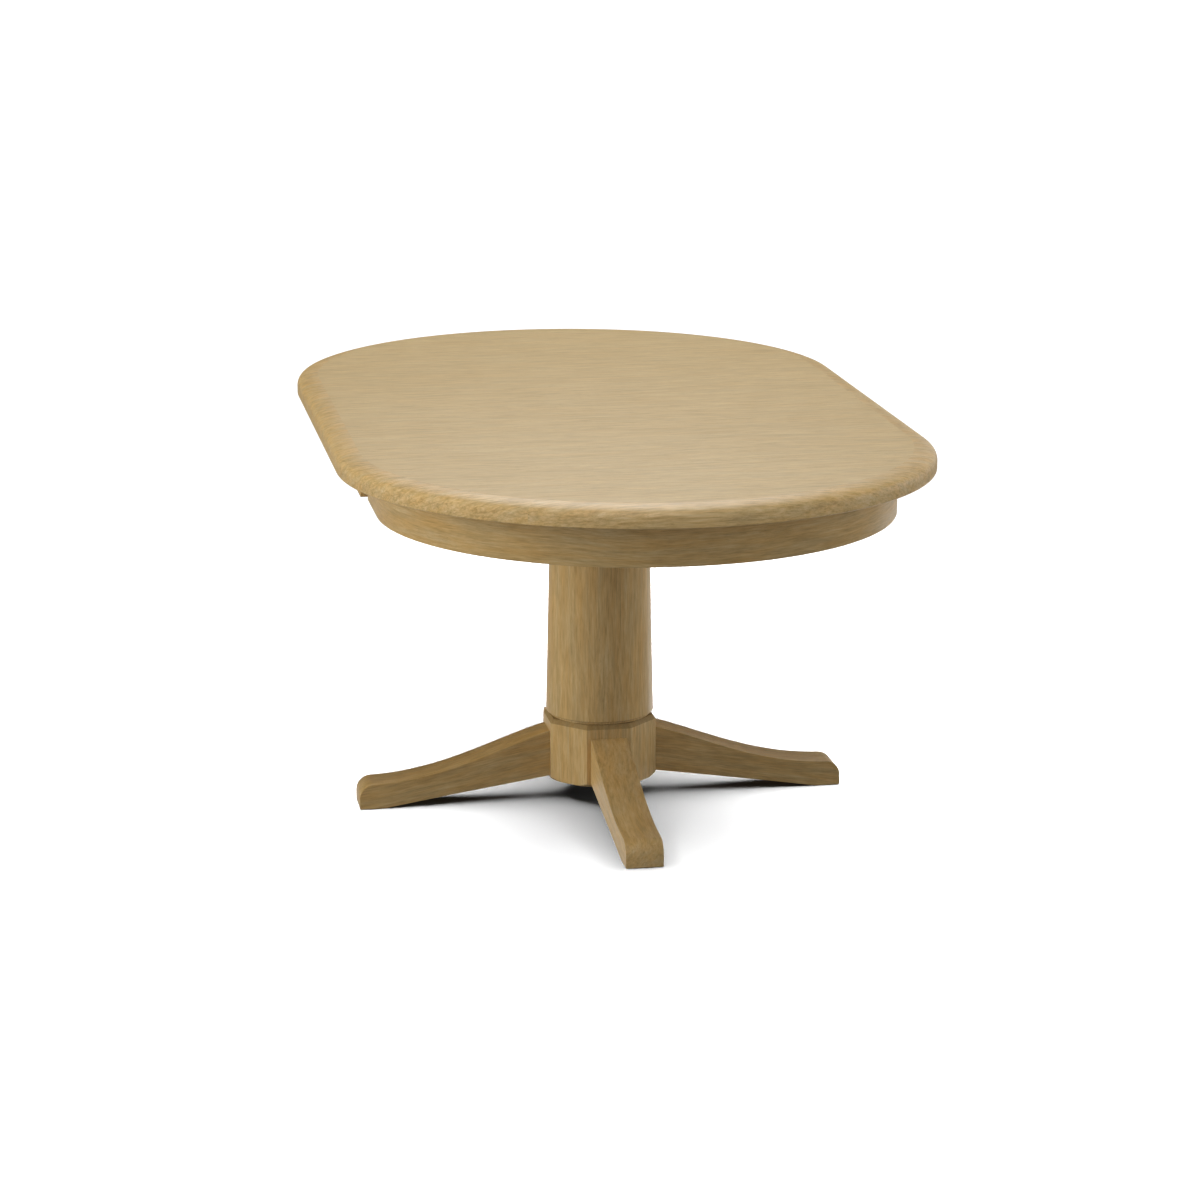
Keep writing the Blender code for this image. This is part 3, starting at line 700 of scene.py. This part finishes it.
def make_column():
    """The column with the narrow neck that stands on the hub, turned round the pedestal's axis."""
    top = COLUMN_FOOT - COLUMN_TAPER * (COLUMN_HIGH.z - COLUMN_SHOULDER)
    soft = COLUMN_ARRIS
    profile = [
        (COLUMN_NECK, COLUMN_LOW.z),
        (COLUMN_NECK, COLUMN_SHOULDER - NECK_FILLET),
        (COLUMN_NECK + NECK_FILLET, COLUMN_SHOULDER),
    ]
    profile += [tuple(p) for p in quarter((COLUMN_FOOT - soft, COLUMN_SHOULDER + soft), soft, -90, 4)]
    for step in range(1, COLUMN_STEPS + 1):
        share = step / COLUMN_STEPS
        profile.append((
            COLUMN_FOOT + (top - COLUMN_FOOT) * share,
            COLUMN_SHOULDER + soft + (COLUMN_HIGH.z - COLUMN_SHOULDER - soft) * share,
        ))
    rings = [circle(r, z) for r, z in profile]
    rings += [circle(COLUMN_BORE, COLUMN_HIGH.z), circle(COLUMN_BORE, COLUMN_LOW.z)]
    column = mesh_object("turned_column", loft(rings, joined=True))
    store_grain(column, glued_grain("column"), 0.0, end_along=(0, 0, 1))
    place(column, "column", "pedestal", "base_wood", BASE_WOOD)


def octagon(flat, height, limit=1.0):
    """An eight-sided ring with small soft corners, no point of it further out than the limit."""
    half = math.pi / HUB_SIDES
    corner = flat / math.cos(half)
    points = []
    for side in range(HUB_SIDES):
        middle = 2 * half * side
        for step in range(-HUB_SIDE_STEPS, HUB_SIDE_STEPS + 1):
            turn = step / HUB_SIDE_STEPS * (half - HUB_CORNER)
            reach = min(flat / math.cos(turn), limit)
            points.append((reach * math.cos(middle + turn), reach * math.sin(middle + turn), height))
        reach = min(corner * HUB_CORNER_REACH, limit)
        turn = middle + half
        points.append((reach * math.cos(turn), reach * math.sin(turn), height))
    return points


def bore_line(outline, radius, height):
    """A circle with one point for each point of the outline."""
    points = []
    for x, y, _ in outline:
        angle = math.atan2(y, x)
        points.append((radius * math.cos(angle), radius * math.sin(angle), height))
    return points


def make_hub():
    """The eight-sided hub, ring by ring from its soft lower arris up to its chamfer and down the bore."""
    across, down = HUB_CHAMFER
    rings = [octagon(HUB_FLAT - 0.0018, HUB_LOW.z, HUB_FOOT_RADIUS - 0.0008)]
    rings.append(octagon(HUB_FLAT - 0.0005, HUB_LOW.z + 0.0005, HUB_FOOT_RADIUS + 0.0002))
    for rise in HUB_FOOT_RISES:
        rings.append(octagon(HUB_FLAT, HUB_LOW.z + rise, HUB_FOOT_RADIUS + rise))
    rings.append(octagon(HUB_FLAT, HUB_HIGH.z - down - 0.0006))
    rings.append(octagon(HUB_FLAT - 0.0003, HUB_HIGH.z - down + 0.0003))
    rings.append(octagon(HUB_FLAT - across + 0.0005, HUB_HIGH.z - 0.0008))
    rings.append(octagon(HUB_FLAT - across - 0.0003, HUB_HIGH.z))
    rings.append(bore_line(rings[-1], HUB_BORE, HUB_HIGH.z))
    rings.append(bore_line(rings[0], HUB_BORE, HUB_LOW.z))
    hub = mesh_object("hub_block", loft(rings, joined=True))
    # its end-grain top and chamfer under the column are darkened partly as painted shade
    store_grain(hub, glued_grain("hub"), 0.0, end_along=(0, 0, 1))
    place(hub, "hub", "pedestal", "base_wood", BASE_WOOD)


def leg_outline():
    """A leg's side, from the hub out along its top, down round the toe and back underneath."""
    points = bezier(LEG_TOP_CURVE, LEG_TOP_STEPS)
    centre = Vector((LEG_REACH - TOE_RADIUS, LEG_TOP_CURVE[-1][1] - TOE_RADIUS))
    for step in range(1, TOE_STEPS + 1):
        turn = math.pi / 2 * step / TOE_STEPS
        points.append(centre + TOE_RADIUS * Vector((math.sin(turn), math.cos(turn))))
    points.append(Vector((LEG_REACH, LEG_SOLE)))
    points += reversed(bezier(LEG_BELLY_CURVE, LEG_BELLY_STEPS))
    points.append(Vector((LEG_ROOT, LEG_ROOT_BOTTOM)))
    return [tuple(p) for p in points]


def laid_out(bm, angle, height):
    """Turns a solid made about +Z to lie outwards from the pedestal's axis at this angle and height."""
    spin = Matrix.Rotation(math.radians(angle), 4, "Z") @ Matrix.Rotation(math.pi / 2, 4, "Y")
    bm.transform(Matrix.Translation((0, 0, height)) @ spin)
    return bm


LEG_TONES_AND_SHADE = {"front": 0.2, "rear": -0.6, "left": -1.2, "right": -1.6}  # each leg's board, lighter or darker; the left and right legs are darker still, as painted shade for the shade that falls on them
BOLT_HEIGHT = 0.096
BOLT_HOLE = 0.0043  # radius
BOLT_END = 0.1603
GLIDE_REACH = 0.440
GLIDE_POCKET = 0.0123  # radius
GLIDE_ARRIS = 0.0016
GLIDE_STEPS = 48
PIN_POINT = 0.0001  # radius of the tiny flat that closes a turned face


def make_leg(name, angle):
    """A leg sawn to its outline, with all arrises soft but those against the hub."""
    turn = Matrix.Rotation(math.radians(angle), 4, "Z")
    bm = prism(leg_outline(), -LEG_WIDTH / 2, LEG_WIDTH / 2, lengthways)
    soften(bm, LEG_ARRIS, keep=lambda e: all(v.co.x > LEG_ROOT + LEG_ARRIS / 2 for v in e.verts))
    bm.transform(turn)
    leg = mesh_object(f"leg_{name}_arm", bm)
    foot = turn @ Vector((GLIDE_REACH, 0, 0))
    glide_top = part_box(f"glide_{name}")[1].z + GAP
    carve(leg, [
        laid_out(rod(BOLT_HOLE, LEG_ROOT - OVERSHOOT, BOLT_END), angle, BOLT_HEIGHT),
        rod(GLIDE_POCKET, -OVERSHOOT, glide_top, (foot.x, foot.y)),
    ])
    along = turn @ Vector((1, 0, -LEG_GRAIN_FALL))
    lean = random.Random(f"leg {name}").uniform(20, 70)
    # the leg's tone, with painted shade on the left and right legs
    store_grain(leg, straight_grain(along, lean, f"leg {name}"), LEG_TONES_AND_SHADE[name])
    place(leg, f"leg_{name}", "pedestal", "base_wood", BASE_WOOD)


def make_glide(name):
    low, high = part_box(f"glide_{name}")
    middle = (low + high) / 2
    radius = (high.x - low.x) / 2
    soft = GLIDE_ARRIS
    profile = [(PIN_POINT, 0.0)]
    profile += [tuple(p) for p in quarter((radius - soft, soft), soft, -90, 4)]
    profile += [(radius, high.z), (PIN_POINT, high.z)]
    rings = [circle(r, z, GLIDE_STEPS, (middle.x, middle.y)) for r, z in profile]
    glide = mesh_object(f"glide_{name}_pad", loft(rings))
    place(glide, f"glide_{name}", "pedestal", "nylon", NYLON)


# Hidden frame and ironmongery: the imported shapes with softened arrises


SAME_POINT = 0.00002
SAME_PLANE = math.radians(0.5)
FRAME_LEAN = 30
FRAME_ARRIS = 0.0008
STEEL_ARRIS = 0.0004
NYLON_ARRIS = 0.0003


def softened(node, body, slot, material, width, grain=None):
    """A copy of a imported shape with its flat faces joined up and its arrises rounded."""
    bm = bmesh.new()
    bm.from_mesh(frame["nodes"][node].data)
    bmesh.ops.remove_doubles(bm, verts=bm.verts, dist=SAME_POINT)
    bmesh.ops.dissolve_limit(bm, angle_limit=SAME_PLANE, verts=bm.verts, edges=bm.edges)
    soften(bm, width)
    obj = mesh_object(f"{node}_piece", bm)
    if grain is not None:
        tone = random.Random(node).uniform(-TONE_SPREAD, TONE_SPREAD)
        store_grain(obj, straight_grain(grain, FRAME_LEAN, node), tone)
    place(obj, node, body, slot, material)


def make_frame_pieces():
    across = (1, 0, 0)
    length = (0, 1, 0)
    pieces = [("top_plate", "pedestal", across), ("gear_stretcher", "pedestal", across)]
    pieces += [(f"{name}_cleat", "pedestal", across) for name in ENDS]
    pieces += [(f"fixed_rail_{hand}", "pedestal", length) for hand in SIDES]
    for name in ENDS:
        for hand in SIDES:
            pieces.append((f"{name}_runner_{hand}", f"{name}_half", length))
            pieces.append((f"{name}_tenon_{hand}", f"{name}_half", length))
    for node, body, grain in pieces:
        softened(node, body, "frame_wood", FRAME_WOOD, FRAME_ARRIS, grain)


def make_ironmongery():
    pieces = [(node, "pedestal") for node in ("tie_rod", "base_plate", "pinion_axle")]
    pieces += [(f"tie_rod_nut_{level}", "pedestal") for level in ("lower", "upper")]
    pieces += [(f"leg_bolt_{name}", "pedestal") for name in LEG_ANGLES]
    for name in ENDS:
        for hand in SIDES:
            pieces.append((f"{name}_latch_pivot_{hand}", f"{name}_half"))
            pieces.append((f"{name}_latch_stud_{hand}", "leaf"))
            pieces.append((f"{name}_latch_{hand}", f"{name}_latch_{hand}"))
    for node, body in pieces:
        softened(node, body, "steel", STEEL, STEEL_ARRIS)
    for name in ENDS:
        softened(f"{name}_rack", f"{name}_half", "nylon", NYLON, NYLON_ARRIS)
    softened("pinion", "pinion", "nylon", NYLON, NYLON_ARRIS)


# Stage, lights and camera


FLOOR_HALF = 80.0
SHADOW_RADIUS = 1.6  # the floor shows shadows this far from the table's axis, and is plain white further out
WHITE_RADIUS = 2.6
PAPER_GREY = 0.05  # so dark that the lights on the table hardly show on it
PAPER_GLOW = 1.2
SKY_HEIGHT = 3.0
SKY_SIZE = 5.8
SKY_STRENGTH = 126.0  # over-exposes the open floor


def make_floor():
    """White paper under an even sky, over-exposed, so that only the contact shadows show."""
    bm = bmesh.new()
    bmesh.ops.create_grid(bm, x_segments=1, y_segments=1, size=FLOOR_HALF)
    floor = mesh_object("studio_floor", bm)
    tree = Tree("studio_paper")
    where = tree.add("ShaderNodeTexCoord", {}, output="Object")
    reach = tree.add("ShaderNodeVectorMath", {0: where}, output="Value", operation="LENGTH")
    outer = tree.remap(reach, SHADOW_RADIUS, WHITE_RADIUS, 0.0, 1.0)
    paper = tree.add("ShaderNodeBsdfDiffuse", {"Color": (PAPER_GREY, PAPER_GREY, PAPER_GREY, 1.0)})
    glow = tree.add("ShaderNodeEmission", {"Strength": PAPER_GLOW})
    lit = tree.add("ShaderNodeMixShader", {0: outer, 1: paper, 2: glow})
    under = tree.add("ShaderNodeNewGeometry", {}, output="Backfacing")
    clear = tree.add("ShaderNodeBsdfTransparent", {})
    shown = tree.add("ShaderNodeMixShader", {0: under, 1: lit, 2: clear})
    tree.feed(tree.nodes["Material Output"].inputs["Surface"], shown)
    floor.data.materials.append(tree.material)
    floor.visible_diffuse = False
    floor.visible_glossy = False
    floor.visible_shadow = False
    return floor


def make_sky(floor):
    """A round overhead light for the floor alone, in which only the pedestal throws a shadow."""
    sky = softbox("floor_sky", 0, 90, SKY_HEIGHT, SKY_SIZE, SKY_STRENGTH, target=(0, 0, 0))
    sky.data.shape = "DISK"
    lit = bpy.data.collections.new("lit_by_floor_sky")
    lit.objects.link(floor)
    sky.light_linking.receiver_collection = lit
    standing = bpy.data.collections.new("shadows_on_floor")
    for obj in bpy.data.objects:
        if obj.type == "MESH" and obj.name.startswith(("turned_column", "hub_block", "leg_", "glide_")):
            standing.objects.link(obj)
    sky.light_linking.blocker_collection = standing


CAMERA_AZIMUTH = -10.092  # degrees from the front of the table, positive to its right
CAMERA_ELEVATION = 14.090
CAMERA_DISTANCE = 6.421
CAMERA_TARGET = (0.0009, 0.0, 0.38294)
CAMERA_LENS = 101.025  # mm, on a 36 mm sensor


def stand_off(name, data, target, azimuth, elevation, distance):
    """A camera or light that looks at the target from this direction and distance."""
    turn = math.radians(azimuth)
    rise = math.radians(elevation)
    away = Vector((math.sin(turn) * math.cos(rise), -math.cos(turn) * math.cos(rise), math.sin(rise)))
    obj = bpy.data.objects.new(name, data)
    bpy.context.scene.collection.objects.link(obj)
    obj.location = Vector(target) + distance * away
    direction = Vector(target) - obj.location
    obj.rotation_euler = direction.to_track_quat("-Z", "Y").to_euler()
    return obj


def softbox(name, azimuth, elevation, distance, size, radiance, target=(0, 0, 0.5)):
    """A soft light. Azimuth 0 is on the camera's side of the table, and positive is to the right."""
    data = bpy.data.lights.new(name, "AREA")
    data.shape = "SQUARE"
    data.size = size
    data.energy = radiance * math.pi * size * size
    light = stand_off(name, data, target, azimuth + CAMERA_AZIMUTH, elevation, distance)
    light.visible_camera = False
    return light


def make_camera():
    data = bpy.data.cameras.new("camera")
    data.lens = CAMERA_LENS
    data.sensor_width = 36.0
    bpy.context.scene.camera = stand_off(
        "camera", data, CAMERA_TARGET, CAMERA_AZIMUTH, CAMERA_ELEVATION, CAMERA_DISTANCE
    )


FLOOR_BOUNCE = 0.190  # radiance of everything below the horizon


def make_world():
    """White where the camera looks past the floor. Below the horizon it lights the table as a floor does."""
    world = bpy.data.worlds.new("studio")
    world.use_nodes = True
    nodes = world.node_tree.nodes
    links = world.node_tree.links
    direction = nodes.new("ShaderNodeTexCoord")
    height = nodes.new("ShaderNodeSeparateXYZ")
    below = nodes.new("ShaderNodeMath")
    below.operation = "LESS_THAN"
    below.inputs[1].default_value = 0.0
    bounce = nodes.new("ShaderNodeMath")
    bounce.operation = "MULTIPLY"
    bounce.inputs[1].default_value = FLOOR_BOUNCE
    seen = nodes.new("ShaderNodeLightPath")
    strength = nodes.new("ShaderNodeMath")
    strength.operation = "MAXIMUM"
    links.new(direction.outputs["Generated"], height.inputs[0])
    links.new(height.outputs["Z"], below.inputs[0])
    links.new(below.outputs[0], bounce.inputs[0])
    links.new(bounce.outputs[0], strength.inputs[0])
    links.new(seen.outputs["Is Camera Ray"], strength.inputs[1])
    links.new(strength.outputs[0], nodes["Background"].inputs["Strength"])
    nodes["Background"].inputs["Color"].default_value = (1, 1, 1, 1)
    bpy.context.scene.world = world


LIGHTS = (  # name, azimuth, elevation, distance, size, radiance. Those below the horizon stand for the floor
    ("front_high", 0, 50, 4.5, 2.4, 2.6),
    ("left_high", -60, 50, 4.5, 2.4, 0.35),
    ("back_high", 180, 50, 4.5, 2.4, 3.8),
    ("back_sheen", 180, 38, 4.0, 1.6, 1.3),
    ("rim_back", 150, 12, 4.5, 2.0, 1.0),
    ("rim_side", 112, 12, 4.5, 2.0, 1.2),
    ("floor_right", 148, -30, 4.5, 2.6, 1.8),
    ("floor_left", -160, -30, 4.5, 2.6, 0.7),
    ("overhead", 0, 88, 4.0, 2.5, 1.35),
)
LOW_LIGHTS = (  # lights near the horizon, which the top doesn't mirror towards a low camera
    ("key_left", -75, 12, 4.5, 2.2, 7.2),
    ("front_left", -40, 12, 4.5, 2.2, 0.9),
    ("front", -10, 12, 4.5, 2.2, 0.5),
    ("front_right", 20, 12, 4.5, 2.2, 0.85),
    ("right", 80, 12, 4.5, 2.2, 2.2),
    ("rim_right", 115, 12, 4.5, 2.2, 2.2),
)


def main():
    """Builds the table piece by piece, then the stage round it."""
    for name, side in ENDS.items():
        make_half_top(name, side)
    make_leaf()
    make_column()
    make_hub()
    for name, angle in LEG_ANGLES.items():
        make_leg(name, angle)
        make_glide(name)
    make_frame_pieces()
    make_ironmongery()
    make_sky(make_floor())
    make_camera()
    make_world()
    for light in LIGHTS:
        softbox(*light)
    for light in LOW_LIGHTS:
        softbox(*light).visible_glossy = False
    bpy.context.scene.view_settings.view_transform = "Standard"


main()
